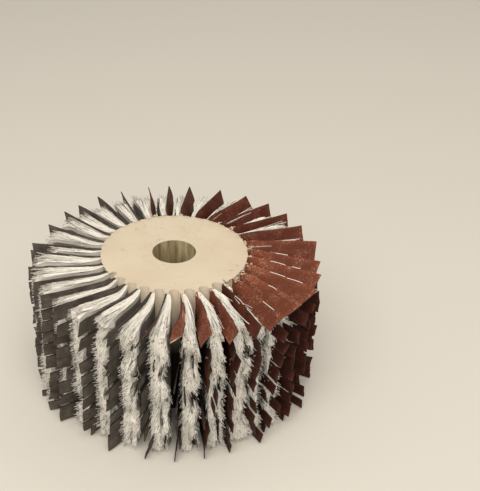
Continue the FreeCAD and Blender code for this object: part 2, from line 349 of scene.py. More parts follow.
@dataclass(frozen=True)
class GritFinish:
    """Aluminium oxide grit, bonded on cloth: dull red-brown, paler where it is worn and dusty,
    with painted sheen on the top fingers.
    """

    name: str = "abrasive_grit_red_brown"
    deep: str = "#3f1a13"
    main: str = "#58251c"
    light: str = "#6c3428"
    # Pale veil of dust and painted sheen, strongest on the flat top fingers that face the light.
    dust_and_sheen: str = "#b2694c"
    frost: str = "#d8ae94"
    unlit: str = "#120906"
    patch_mm: float = 9.0
    grain_mm: float = 0.9        # grit is about 0.4 mm, drawn coarser so that it shows

    def build(self) -> bpy.types.Material:
        """Make the material, with the wear attribute and Object coordinates."""
        material, tree, shader = new_material(self.name)
        place = add_node(tree, "ShaderNodeTexCoord").outputs["Object"]
        patch = add_node(tree, "ShaderNodeTexNoise", {
            "Vector": place, "Scale": 1 / (self.patch_mm * MM), "Detail": 6.0,
            "Roughness": 0.65})
        colour = ramp(tree, patch.outputs["Fac"], (
            (0.3, self.deep), (0.5, self.main), (0.78, self.light)))
        grain = add_node(tree, "ShaderNodeTexNoise", {
            "Vector": place, "Scale": 1 / (self.grain_mm * MM), "Detail": 4.0,
            "Roughness": 0.8})
        speck = ramp(tree, grain.outputs["Fac"], ((0.36, "#909090"), (0.62, "#ffffff")))
        colour = mix(tree, 0.8, colour, speck, blend_type="MULTIPLY")
        # Dust and painted sheen: the top fingers are mixed towards a pale veil that stands for
        # the sheen of the light on them as well as their dust.
        wear_and_sheen = add_node(tree, "ShaderNodeAttribute", attribute_name="wear_and_sheen").outputs["Fac"]
        spread = add_node(tree, "ShaderNodeMapRange", {
            "Value": grain.outputs["Fac"], 1: 0.3, 2: 0.7, 3: 0.6, 4: 1.4})
        dusty = add_node(tree, "ShaderNodeMath", {0: wear_and_sheen, 1: spread.outputs["Result"]},
                         operation="MULTIPLY")
        colour = mix(tree, dusty.outputs[0], colour, linear(self.dust_and_sheen))
        # Bare grains catch the light in patches, most of all where the cloth has folded.
        bare = add_node(tree, "ShaderNodeMapRange", {
            "Value": grain.outputs["Fac"], 1: 0.54, 2: 0.60, 3: 0.0, 4: 1.0})
        patches = add_node(tree, "ShaderNodeMapRange", {
            "Value": patch.outputs["Fac"], 1: 0.46, 2: 0.60, 3: 0.0, 4: 1.0})
        where = add_node(tree, "ShaderNodeMath", {
            0: patches.outputs["Result"], 1: wear_and_sheen}, operation="MULTIPLY")
        where = add_node(tree, "ShaderNodeMath", {
            0: where.outputs[0], 1: 2.2}, operation="MULTIPLY", use_clamp=True)
        frosted = add_node(tree, "ShaderNodeMath", {
            0: bare.outputs["Result"], 1: where.outputs[0]}, operation="MULTIPLY")
        colour = mix(tree, frosted.outputs[0], colour, linear(self.frost))
        colour = shaded(tree, colour, self.unlit)
        tree.links.new(colour, shader.inputs["Base Color"])
        shader.inputs["Roughness"].default_value = 0.7
        shader.inputs["Specular IOR Level"].default_value = 0.2
        bump = add_node(tree, "ShaderNodeBump", {
            "Strength": 0.55, "Distance": 0.35 * MM, "Height": grain.outputs["Fac"]})
        tree.links.new(bump.outputs["Normal"], shader.inputs["Normal"])
        return material


@dataclass(frozen=True)
class BackingFinish:
    """Back of the cloth: sized cotton twill, warm grey, with its threads just showing."""

    name: str = "cotton_backing_grey"
    dark: str = "#3f3933"
    main: str = "#5c544c"
    dusty: str = "#857c72"
    rubbed: str = "#8d857c"
    unlit: str = "#120f0c"
    thread_mm: float = 1.3       # threads are about 0.5 mm apart, drawn coarser to show

    def build(self) -> bpy.types.Material:
        """Make the material, with the weave on the cloth's own UV map."""
        material, tree, shader = new_material(self.name)
        coords = add_node(tree, "ShaderNodeTexCoord")
        patch = add_node(tree, "ShaderNodeTexNoise", {
            "Vector": coords.outputs["Object"], "Scale": 120.0, "Detail": 5.0,
            "Roughness": 0.6})
        colour = ramp(tree, patch.outputs["Fac"], (
            (0.32, self.dark), (0.55, self.main), (0.8, self.dusty)))
        weave = add_node(tree, "ShaderNodeTexWave", {
            "Vector": coords.outputs["UV"], "Scale": 10 / self.thread_mm / 3,
            "Distortion": 1.2, "Detail": 2.0}, bands_direction="DIAGONAL")
        thread = ramp(tree, weave.outputs["Fac"], ((0.0, "#c4c4c4"), (1.0, "#ffffff")))
        colour = mix(tree, 0.7, colour, thread, blend_type="MULTIPLY")
        # Lighter where the cloth is rubbed, and on the top fingers, where the attribute also
        # carries painted sheen.
        wear_and_sheen = add_node(tree, "ShaderNodeAttribute", attribute_name="wear_and_sheen").outputs["Fac"]
        share = add_node(tree, "ShaderNodeMath", {0: wear_and_sheen, 1: 0.45}, operation="MULTIPLY")
        colour = mix(tree, share.outputs[0], colour, linear(self.rubbed))
        colour = shaded(tree, colour, self.unlit)
        tree.links.new(colour, shader.inputs["Base Color"])
        shader.inputs["Roughness"].default_value = 0.86
        bump = add_node(tree, "ShaderNodeBump", {
            "Strength": 0.3, "Distance": 0.15 * MM, "Height": weave.outputs["Fac"]})
        tree.links.new(bump.outputs["Normal"], shader.inputs["Normal"])
        return material


@dataclass(frozen=True)
class CutEdgeFinish:
    """Cut edge of the cloth: bare cotton fluff between the size and the grit, painted dark as the
    shade in the slits between fingers.
    """

    name: str = "cotton_cut_edge"
    # Painted shade: the fluff is drawn far darker than bare cotton, as the slits between the
    # fingers lie in shade.
    low: str = "#1d1915"
    high: str = "#4a4239"
    frayed: str = "#dcc4b0"      # of the top fingers, here and there
    fluff_mm: float = 1.2

    def build(self) -> bpy.types.Material:
        """Make the material, on Object coordinates."""
        material, tree, shader = new_material(self.name)
        place = add_node(tree, "ShaderNodeTexCoord").outputs["Object"]
        fluff = add_node(tree, "ShaderNodeTexNoise", {
            "Vector": place, "Scale": 1 / (self.fluff_mm * MM), "Detail": 4.0})
        colour = ramp(tree, fluff.outputs["Fac"], ((0.35, self.low), (0.65, self.high)))
        wear_and_sheen = add_node(tree, "ShaderNodeAttribute", attribute_name="wear_and_sheen").outputs["Fac"]
        length = add_node(tree, "ShaderNodeTexNoise", {
            "Vector": place, "Scale": 1 / (14 * MM), "Detail": 1.0})
        here = add_node(tree, "ShaderNodeMapRange", {
            "Value": length.outputs["Fac"], 1: 0.46, 2: 0.54, 3: 0.0, 4: 1.0})
        top = add_node(tree, "ShaderNodeMapRange", {
            "Value": wear_and_sheen, 1: 0.40, 2: 0.46, 3: 0.0, 4: 1.0})
        share = add_node(tree, "ShaderNodeMath", {
            0: here.outputs["Result"], 1: top.outputs["Result"]}, operation="MULTIPLY")
        colour = mix(tree, share.outputs[0], colour, linear(self.frayed))
        colour = shaded(tree, colour, self.low)
        tree.links.new(colour, shader.inputs["Base Color"])
        shader.inputs["Roughness"].default_value = 0.95
        bump = add_node(tree, "ShaderNodeBump", {
            "Strength": 0.6, "Distance": 0.2 * MM, "Height": fluff.outputs["Fac"]})
        tree.links.new(bump.outputs["Normal"], shader.inputs["Normal"])
        return material


@dataclass(frozen=True)
class PackedFibreFinish:
    """Inside of a pack: off-white fibres side by side, with the slits between their locks painted
    dark as shade, and painted shade deep between the packs.
    """

    name: str = "crimped_fibre_packed"
    # Painted shade: deep is the fibre deep between the packs and in the splits; the slit colour
    # is the shade of the slits between locks.
    deep: str = "#2a241e"
    slit_shade: str = "#3d362e"
    shade: str = "#dcd8d0"
    light: str = "#fdfaf4"
    across_mm: float = 0.7       # a fibre is under 0.3 mm thick, and this is what shows
    stretch: float = 36.0        # length of a streak over its width

    def build(self) -> bpy.types.Material:
        """Make the material. The UV map runs in millimetres across and along the fibres."""
        material, tree, shader = new_material(self.name)
        uv = add_node(tree, "ShaderNodeTexCoord").outputs["UV"]
        fine = add_node(tree, "ShaderNodeMapping", {
            "Vector": uv, "Scale": (1 / self.across_mm, 1 / self.across_mm / self.stretch, 1)})
        streak = add_node(tree, "ShaderNodeTexNoise", {
            "Vector": fine.outputs["Vector"], "Scale": 1.0, "Detail": 4.0, "Roughness": 0.7})
        colour = ramp(tree, streak.outputs["Fac"], (
            (0.36, self.slit_shade), (0.42, self.shade), (0.53, self.light)))
        # Painted shade: faces deep between the packs and in the splits are mixed towards the deep
        # colour.
        seen = add_node(tree, "ShaderNodeAttribute", attribute_name="fibre_seen")
        colour = mix(tree, seen.outputs["Fac"], linear(self.deep), colour)
        tree.links.new(colour, shader.inputs["Base Color"])
        shader.inputs["Roughness"].default_value = 0.8
        bump = add_node(tree, "ShaderNodeBump", {
            "Strength": 0.7, "Distance": 0.5 * MM, "Height": streak.outputs["Fac"]})
        tree.links.new(bump.outputs["Normal"], shader.inputs["Normal"])
        return material


@dataclass(frozen=True)
class FibreStrandFinish:
    """Single crimped fibres: off-white, each a little lighter or darker than the next, and some
    painted dark as the shade of the slits between locks.
    """

    name: str = "crimped_fibre_strand"
    # The dark colour is painted shade: a few strands drawn dark stand for the shaded slits
    # between locks.
    dark: str = "#5f584e"
    shade: str = "#e2ded7"
    light: str = "#fdfbf7"

    def build(self) -> bpy.types.Material:
        """Make the material, with one tint for each fibre."""
        material, tree, shader = new_material(self.name)
        tint = add_node(tree, "ShaderNodeNewGeometry").outputs["Random Per Island"]
        colour = ramp(tree, tint, (
            (0.12, self.dark), (0.20, self.shade), (0.60, self.light)))
        tree.links.new(colour, shader.inputs["Base Color"])
        shader.inputs["Roughness"].default_value = 0.7
        return material


@dataclass(frozen=True)
class SoakedResinFinish:
    """Resin that crept up the fibre roots: pinkish cream, glossier than the hub."""

    name: str = "cast_resin_soaked"
    low: str = "#b78d78"
    high: str = "#e6cdb8"

    def build(self) -> bpy.types.Material:
        """Make the material, on Object coordinates."""
        material, tree, shader = new_material(self.name)
        place = add_node(tree, "ShaderNodeTexCoord").outputs["Object"]
        cloud = add_node(tree, "ShaderNodeTexNoise", {
            "Vector": place, "Scale": 1 / (2.5 * MM), "Detail": 3.0})
        colour = ramp(tree, cloud.outputs["Fac"], ((0.35, self.low), (0.6, self.high)))
        tree.links.new(colour, shader.inputs["Base Color"])
        shader.inputs["Roughness"].default_value = 0.35
        return material


@dataclass(frozen=True)
class FloorFinish:
    """Matt painted board under the brush."""

    name: str = "floor_matt_board"
    colour: str = "#e6e3dd"

    def build(self) -> bpy.types.Material:
        """Make the material."""
        material, _, shader = new_material(self.name)
        shader.inputs["Base Color"].default_value = linear(self.colour)
        shader.inputs["Roughness"].default_value = 0.75
        return material


@dataclass(frozen=True)
class Finger:
    """One slit finger, as the CAD strip has it.

    Attributes:
        tip: Middle of its end, on the cloth side, in the row's frame.
        across: Unit vector over its width at the end, pointing up the row.
        root_height: Height of the middle of its root.
        width: Width at the root, from slit to slit.
        rank: Place in its strip, counted from the top.
    """

    tip: Vector
    across: Vector
    root_height: float
    width: float
    rank: int


@dataclass(frozen=True)
class Row:
    """One row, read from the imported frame. Lengths are in millimetres.

    Attributes:
        number: Row number, from one.
        azimuth: Azimuth of its land in degrees.
        corner: Where its plane leaves the rim.
        lean: Direction of its plane in degrees, in the row's own frame.
        fingers: Its fingers, from the top down.
        thickness: Thickness of its fibre at the ends.
        fibre_radius: Radius at which its fibre ends.
    """

    number: int
    azimuth: float
    corner: Vector
    lean: float
    fingers: tuple[Finger, ...]
    thickness: float
    fibre_radius: float

    @property
    def heading(self) -> Vector:
        """Unit vector outwards in the row's plane."""
        angle = math.radians(self.lean)
        return Vector((math.cos(angle), math.sin(angle), 0))

    @property
    def turn(self) -> Matrix:
        """Rotation from the row's own frame to the brush."""
        return Matrix.Rotation(math.radians(self.azimuth), 3, "Z")

    def at_reach(self, reach: float) -> Vector:
        """Place on the row's plane at a distance from the rim, in the brush's frame."""
        return self.turn @ (self.corner + self.heading * reach)

    def space_to(self, other: Row, reach: float) -> float:
        """Distance from this row's plane to another's, at a distance from the rim."""
        apart = other.at_reach(reach) - self.at_reach(reach)
        return abs(apart.cross(self.turn @ self.heading).z)


@dataclass(frozen=True)
class FrameReader:
    """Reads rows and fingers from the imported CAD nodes."""

    row_count: int = 32
    row_top: float = 99.0
    slit_opening: float = 1.0    # by which a finger is narrower at its end than at its root
    tip_from: float = 90.0       # radius beyond which a strip has only finger ends
    fibre_from: float = 80.0     # radius beyond which a pack has only its tufts
    # Where a strip's corners lie at the rim (X) and at the starts of its slits (radius), and
    # how far from its plane the tufts of its own pack lie.
    rim_band: tuple[float, float] = (50.5, 51.6)
    slit_band: tuple[float, float] = (53.0, 58.0)
    depth_band: tuple[float, float] = (-0.2, 13.0)
    # Degrees by which a row leans less than its CAD solid, by azimuth.
    nudged: tuple[tuple[float, float], ...] = (
        (-180, 0), (-112, 0), (-96, 3), (-84, 7), (-73, 7), (-62, 5), (-50, 6), (-39, 7),
        (-17, 7), (-6, 5), (6, 1), (17, 0), (28, 4), (40, 3), (60, 0), (180, 0))
    # How much of the turn of the lower fingers is kept, by azimuth.
    kept_turn: tuple[tuple[float, float], ...] = (
        (-180, 1), (-120, 0.8), (-105, 0.3), (-70, 0.3), (-50, 0.8), (180, 1))

    def points(self, node: str, azimuth: float) -> list[Vector]:
        """Corners of a node in a row's frame.

        Args:
            node: Name of the CAD node.
            azimuth: Azimuth of the row in degrees.

        Returns:
            Its distinct corners in millimetres.
        """
        back = Matrix.Rotation(math.radians(-azimuth), 3, "Z")
        mesh = bpy.data.objects[node].data
        found = {tuple(round(part, 3) for part in back @ (vertex.co / MM))
                 for vertex in mesh.vertices}
        return [Vector(part) for part in sorted(found)]

    def fingers(self, corners: list[Vector]) -> tuple[Finger, ...]:
        """Group the end corners of a strip into fingers.

        Args:
            corners: Corners of the strip in its row's frame.

        Returns:
            The fingers, from the top down.
        """
        ends = sorted((point for point in corners if point.xy.length > self.tip_from),
                      key=lambda point: -point.z)
        fingers = []
        slit = self.row_top
        for start in range(0, len(ends) - 3, 4):
            high, low = ends[start:start + 2], ends[start + 2:start + 4]
            # The cloth side is the anticlockwise one.
            top = max(high, key=lambda point: point.y)
            bottom = max(low, key=lambda point: point.y)
            span = top - bottom
            width = span.length + self.slit_opening
            fingers.append(Finger((top + bottom) / 2, span.normalized(), slit - width / 2,
                                  width, start // 4))
            slit -= width
        return tuple(fingers)

    def row(self, number: int) -> Row:
        """Read one row.

        Args:
            number: Row number, from one.

        Returns:
            The row.
        """
        azimuth = (number - 0.5) * 360 / self.row_count
        azimuth = azimuth if azimuth <= 180 else azimuth - 360
        corners = self.points(f"abrasive_strip_{number:02d}", azimuth)
        low, high = self.rim_band
        rim = [point for point in corners if low < point.x < high]
        low, high = self.slit_band
        slit = [point for point in corners if low < point.xy.length < high]
        corner = max(rim, key=lambda point: point.y).copy()
        start = max(slit, key=lambda point: point.y)
        lean = math.degrees(math.atan2(start.y - corner.y, start.x - corner.x))
        corner.z = 0
        first = number - (number + 1) % 2
        pack = self.points(f"fibre_packs_{first:02d}_{first + 1:02d}", azimuth)
        side = Vector((-math.sin(math.radians(lean)), math.cos(math.radians(lean)), 0))
        ends = [point for point in pack if point.xy.length > self.fibre_from]
        low, high = self.depth_band
        own = [(depth, point.xy.length) for point in ends
               if low < (depth := (point - corner).dot(side)) < high]
        thickness = max(depth for depth, _ in own)
        radius = max(reach for _, reach in own)
        nudge = blend(self.nudged, azimuth)
        turn = Matrix.Rotation(math.radians(nudge), 3, "Z")
        kept = blend(self.kept_turn, azimuth)
        fingers = []
        for finger in self.fingers(corners):
            across = turn @ finger.across
            if finger.rank:
                across = UP.lerp(across, kept).normalized()
            fingers.append(replace(finger, tip=corner + turn @ (finger.tip - corner),
                                   across=across))
        return Row(number, azimuth, corner, lean + nudge, tuple(fingers), thickness, radius)

    def rows(self) -> list[Row]:
        """Read every row."""
        return [self.row(number) for number in range(1, self.row_count + 1)]


@dataclass
class MeshDraft:
    """Corners and faces of a mesh that is being made, in millimetres."""

    corners: list[Vector] = field(default_factory=list)
    faces: list[tuple[int, ...]] = field(default_factory=list)
    materials: list[int] = field(default_factory=list)
    uvs: list[list[tuple[float, float]]] = field(default_factory=list)
    sharp_deg: float = 50.0

    def add(self, face: tuple[int, ...], material: int,
            uv: list[tuple[float, float]]) -> None:
        """Add one face."""
        self.faces.append(face)
        self.materials.append(material)
        self.uvs.append(uv)

    def build(self, name: str, finishes: list[bpy.types.Material]) -> bpy.types.Object:
        """Turn the draft into an object at the origin, in metres.

        Args:
            name: Name of the object.
            finishes: Its materials, in the order of the faces' numbers.

        Returns:
            The object.
        """
        mesh = bpy.data.meshes.new(name)
        mesh.from_pydata([tuple(corner * MM) for corner in self.corners], [], self.faces)
        for finish in finishes:
            mesh.materials.append(finish)
        mesh.polygons.foreach_set("material_index", self.materials)
        mesh.polygons.foreach_set("use_smooth", [True] * len(self.faces))
        mesh.set_sharp_from_angle(angle=math.radians(self.sharp_deg))
        layer = mesh.uv_layers.new(name="cloth")
        flat = [part for uv in self.uvs for pair in uv for part in pair]
        layer.data.foreach_set("uv", flat)
        mesh.update()
        piece = bpy.data.objects.new(name, mesh)
        bpy.context.scene.collection.objects.link(piece)
        return piece


def bezier(points: tuple[Vector, Vector, Vector, Vector], at: float) -> tuple[Vector, Vector]:
    """Place and direction on a cubic curve.

    Args:
        points: Its four control points.
        at: Share of the way along it.

    Returns:
        The place and the unit direction there.
    """
    first, second, third, last = points
    rest = 1 - at
    place = (first * rest ** 3 + second * (3 * rest * rest * at)
             + third * (3 * rest * at * at) + last * at ** 3)
    direction = ((second - first) * (rest * rest) + (third - second) * (2 * rest * at)
                 + (last - third) * (at * at))
    return place, direction.normalized()


@dataclass
class AbrasiveStrip:
    """Abrasive cloth of one row, as curved fingers. Lengths are in millimetres."""

    row: Row
    thickness: float = 0.7
    root_radius: float = 46.0
    slit_from: float = 6.0       # beyond the rim
    root_gap: float = 0.04
    tip_gap: float = 0.7
    lower_gap_times: float = 1.6     # of the fingers below the top one
    root_length: float = 9.0     # over which the cloth leaves the rim straight
    bend_length: float = 15.0    # of the end that curls
    # Share of its length by which the top finger has turned, by azimuth.
    top_turned_by: tuple[tuple[float, float], ...] = (
        (-110, 0.38), (-95, 0.85), (-55, 0.85), (-45, 0.38))
    steps_along: int = 12
    steps_across: int = 4
    short_share: float = 0.12    # of the lower fingers that have worn short
    stray_share: float = 0.10    # of the lower fingers that lie across the fibre
    # What each top finger has beyond its CAD solid, by azimuth: a further turn, in degrees,
    # and more width at its end. The ones of the +X side lie flat and edge to edge.
    laid_over: tuple[tuple[float, float], ...] = (
        (-180, 4), (-120, 3), (-95, 6), (-84, 12), (-73, -7), (-62, -15), (-51, -14),
        (-39, 22), (-28, 18), (-17, 23), (6, 23), (17, 14), (28, -22), (39, -32), (51, -22),
        (62, -6), (73, -14), (84, -4), (96, -16), (107, -12), (118, 3), (180, 3))
    flared: tuple[tuple[float, float], ...] = (
        (-100, 0), (-84, -2.3), (-62, -1.0), (-51, -3.0), (-39, -1.5), (-28, 5), (-17, 6),
        (17, 6), (28, 0))
    # Degrees by which the next fingers below are turned with them.
    pressed: tuple[tuple[float, float], ...] = (
        (-90, 0), (-73, 8), (-62, 10), (-51, 0), (-40, 30), (-28, 12), (-17, 0))
    # Millimetres by which the next fingers below lie over the fibre of their own row.
    pushed: tuple[tuple[float, float], ...] = (
        (-62, 0.0), (-51, 1.5), (-39, 8.0), (-28, 3.0), (-17, 0.0))
    # Millimetres by which the top fingers have worn shorter than their CAD solids.
    shortened: tuple[tuple[float, float], ...] = (
        (-105, 0), (-84, 5), (-73, 3.5), (-62, 1.5), (-50, 0))
    # How dusty the top fingers are, with painted sheen on them: the flat ones, which face the
    # light, most.
    dust_and_sheen_by_azimuth: tuple[tuple[float, float], ...] = (
        (-120, 0.08), (-95, 0.10), (-84, 0.30), (-73, 0.25), (-62, 0.20), (-51, 0.05),
        (-39, 0.22), (-28, 0.26), (-5, 0.24), (5, 0.20), (17, 0.17), (28, 0.11), (60, 0.08),
        (110, 0.08))
    # How far the ends curl towards the fibre of their own row, in degrees.
    curled: tuple[tuple[float, float], ...] = (
        (-180, 4), (-150, 4), (-105, -3), (-60, -4), (60, 0), (110, 6), (180, 4))

    # How much light reaches the lower fingers: at their roots, and at their ends by azimuth,
    # least under the flat ones.
    root_lit: float = 0.12
    lit: tuple[tuple[float, float], ...] = (
        (-110, 0.95), (-85, 0.80), (-60, 0.62), (10, 0.62), (60, 0.95))

    def flap(self) -> tuple[float, float]:
        """Whole turn of the top finger's end in radians, and its width there."""
        across = self.row.fingers[0].across
        cad_turn = math.acos(min(1.0, abs(across.z)))
        width = self.row.fingers[0].width - self.tip_gap + blend(self.flared, self.row.azimuth)
        return cad_turn + math.radians(blend(self.laid_over, self.row.azimuth)), width

    def build(self, dice: random.Random, finishes: list[bpy.types.Material]
              ) -> bpy.types.Object:
        """Make the strip.

        Args:
            dice: Source of the small differences between fingers.
            finishes: Grit, backing and cut edge.

        Returns:
            The strip's object.
        """
        draft = MeshDraft()
        marks: dict[str, list[float]] = {"wear_and_sheen": [], "seen": [], "edge": []}
        for finger in self.row.fingers:
            self._add_finger(draft, marks, finger, dice)
        piece = draft.build(f"abrasive_cloth_{self.row.number:02d}", finishes)
        for name, values in marks.items():
            attribute = piece.data.attributes.new(name, "FLOAT", "POINT")
            attribute.data.foreach_set("value", values)
        return piece

    def _path(self, finger: Finger, tip: Vector, dice: random.Random
              ) -> tuple[Vector, Vector, Vector, Vector]:
        """Control points of a finger's middle line, from the rim to its end."""
        height = finger.root_height
        start = Vector((self.row.corner.x - 1.0, self.row.corner.y, height))
        first = Vector((math.cos(math.radians(self.row.lean * 0.6)),
                        math.sin(math.radians(self.row.lean * 0.6)), 0))
        whole = (tip - start).normalized()
        turn = blend(self.curled, self.row.azimuth) * dice.uniform(0.5, 1.5)
        curl = Matrix.Rotation(math.radians(turn + dice.uniform(-9, 9)), 3, "Z")
        droop = Vector((0, 0, dice.uniform(-0.04, 0.03)))
        end = (curl @ whole + droop).normalized()
        return start, start + first * self.root_length, tip - end * self.bend_length, tip

    def _tip(self, finger: Finger, dice: random.Random) -> tuple[Vector, Vector, float]:
        """Middle of a finger's end, its direction across, and its width there."""
        width = finger.width - self.tip_gap * (self.lower_gap_times if finger.rank else 1.0)
        outwards = self.row.heading
        if finger.rank:
            press = blend(self.pressed, self.row.azimuth) * (4 - min(4, finger.rank)) / 3
            # Clockwise is away from the fibre of the row.
            stray = -dice.uniform(3, 6.5) if dice.random() < self.stray_share else 0.0
            stray -= blend(self.pushed, self.row.azimuth) * (6 - min(6, finger.rank)) / 5
            aside = Vector((outwards.y, -outwards.x, 0)) * (dice.uniform(-1.1, 1.1) + stray)
            worn = dice.uniform(4, 9) if dice.random() < self.short_share else 0.0
            turn = Quaternion(outwards, math.radians(dice.uniform(-7, 7) - press))
            return finger.tip + aside - outwards * worn, turn @ finger.across, width
        extra = blend(self.laid_over, self.row.azimuth) + dice.uniform(-3, 3)
        across = Quaternion(outwards, math.radians(-extra)) @ finger.across
        # A turned finger hangs by its upper edge, which stays where the CAD has it.
        edge = finger.tip + finger.across * (width / 2)
        edge = edge - outwards * blend(self.shortened, self.row.azimuth)
        width += blend(self.flared, self.row.azimuth)
        return edge - across * (width / 2), across, width

    def _add_finger(self, draft: MeshDraft, marks: dict[str, list[float]], finger: Finger,
                    dice: random.Random) -> None:
        """Add one closed, curved and slightly cupped finger to the draft."""
        tip, across_tip, tip_width = self._tip(finger, dice)
        path = self._path(finger, tip, dice)
        cup = dice.uniform(-0.3, 0.6)
        slant = dice.uniform(-1.3, 1.3)
        # The top finger turns close to the rim, and the others over half their length.
        turned_by = dice.uniform(0.55, 0.8)
        if not finger.rank:
            turned_by = blend(self.top_turned_by, self.row.azimuth)
        count, wide = self.steps_along, self.steps_across
        base = len(draft.corners)
        length = (tip - path[0]).length
        lit = blend(self.lit, self.row.azimuth)
        for side in (ClothFace.BACKING, ClothFace.GRIT):
            for step in range(-1, count + 1):
                share = max(0, step) / count
                place, direction = bezier(path, share)
                if step < 0:
                    place = Vector((self.root_radius, self.row.corner.y, path[0].z))
                    direction = Vector((1, 0, 0))
                across = UP.lerp(across_tip, smooth(0.0, turned_by, share))
                across = (across - direction * across.dot(direction)).normalized()
                normal = direction.cross(across)
                opened = smooth(self.slit_from / length, 1.0, share)
                width = finger.width - self.root_gap + (tip_width - finger.width) * opened
                for index in range(wide + 1):
                    over = index / wide - 0.5
                    bow = cup * (1 - 4 * over * over) * smooth(0.1, 0.9, share)
                    point = place + across * (over * width) + normal * bow
                    if side is ClothFace.GRIT:
                        point = point + normal * self.thickness
                    if step == count:
                        ragged = noise.noise(point * 0.45) * 0.5 + slant * over
                        point = point + direction * ragged
                    edge = abs(over) * 2
                    draft.corners.append(self.row.turn @ point)
                    marks["wear_and_sheen"].append(self._wear_and_sheen(share, edge, over, finger.rank))
                    light = self.root_lit + (lit - self.root_lit) * smooth(0.6, 0.95, share)
                    marks["seen"].append(light if finger.rank else 1.0)
                    marks["edge"].append(over * 2 if finger.rank else 0.0)
        self._add_faces(draft, base, count + 1, wide, length, finger.width)

    def _wear_and_sheen(self, share: float, edge: float, over: float, rank: int) -> float:
        """How dusty the cloth is, with painted sheen on the top fingers: all of a top finger, and
        the others only at their rims.
        """
        if rank:
            return 0.12 * max(smooth(0.93, 1.0, share), smooth(0.7, 1.0, edge))
        fold = smooth(-0.1, 0.5, over) * (1 - smooth(0.15, 0.6, share))
        rubbed = max(fold, 0.6 * smooth(0.7, 1.0, edge), 0.4 * smooth(0.92, 1.0, share),
                     1 - smooth(0.02, 0.16, share))
        return blend(self.dust_and_sheen_by_azimuth, self.row.azimuth) * (1 + 1.4 * rubbed)

    def _add_faces(self, draft: MeshDraft, base: int, count: int, wide: int,
                   length: float, width: float) -> None:
        """Join the corners of a finger: two wide sides, two slit edges, the end, the root."""
        row_size = wide + 1
        layer = (count + 1) * row_size

        def corner(side: int, step: int, index: int) -> int:
            """Number of a corner."""
            return base + side * layer + step * row_size + index

        def place(step: int, index: int) -> tuple[float, float]:
            """Place on the cloth, in centimetres."""
            return index / wide * width / 10, step / count * length / 10

        for step in range(count):
            for index in range(wide):
                ring = [(step, index), (step + 1, index), (step + 1, index + 1),
                        (step, index + 1)]
                uv = [place(*spot) for spot in ring]
                draft.add(tuple(corner(0, *spot) for spot in reversed(ring)),
                          ClothFace.BACKING, uv[::-1])
                draft.add(tuple(corner(1, *spot) for spot in ring), ClothFace.GRIT, uv)
            for index, flip in ((0, False), (wide, True)):
                ring = (corner(0, step, index), corner(0, step + 1, index),
                        corner(1, step + 1, index), corner(1, step, index))
                draft.add(ring[::-1] if flip else ring, ClothFace.CUT,
                          [place(step, index)] * 4)
        for index in range(wide):
            for step, flip in ((0, True), (count, False)):
                ring = (corner(0, step, index), corner(0, step, index + 1),
                        corner(1, step, index + 1), corner(1, step, index))
                draft.add(ring[::-1] if flip else ring, ClothFace.CUT,
                          [place(step, index)] * 4)


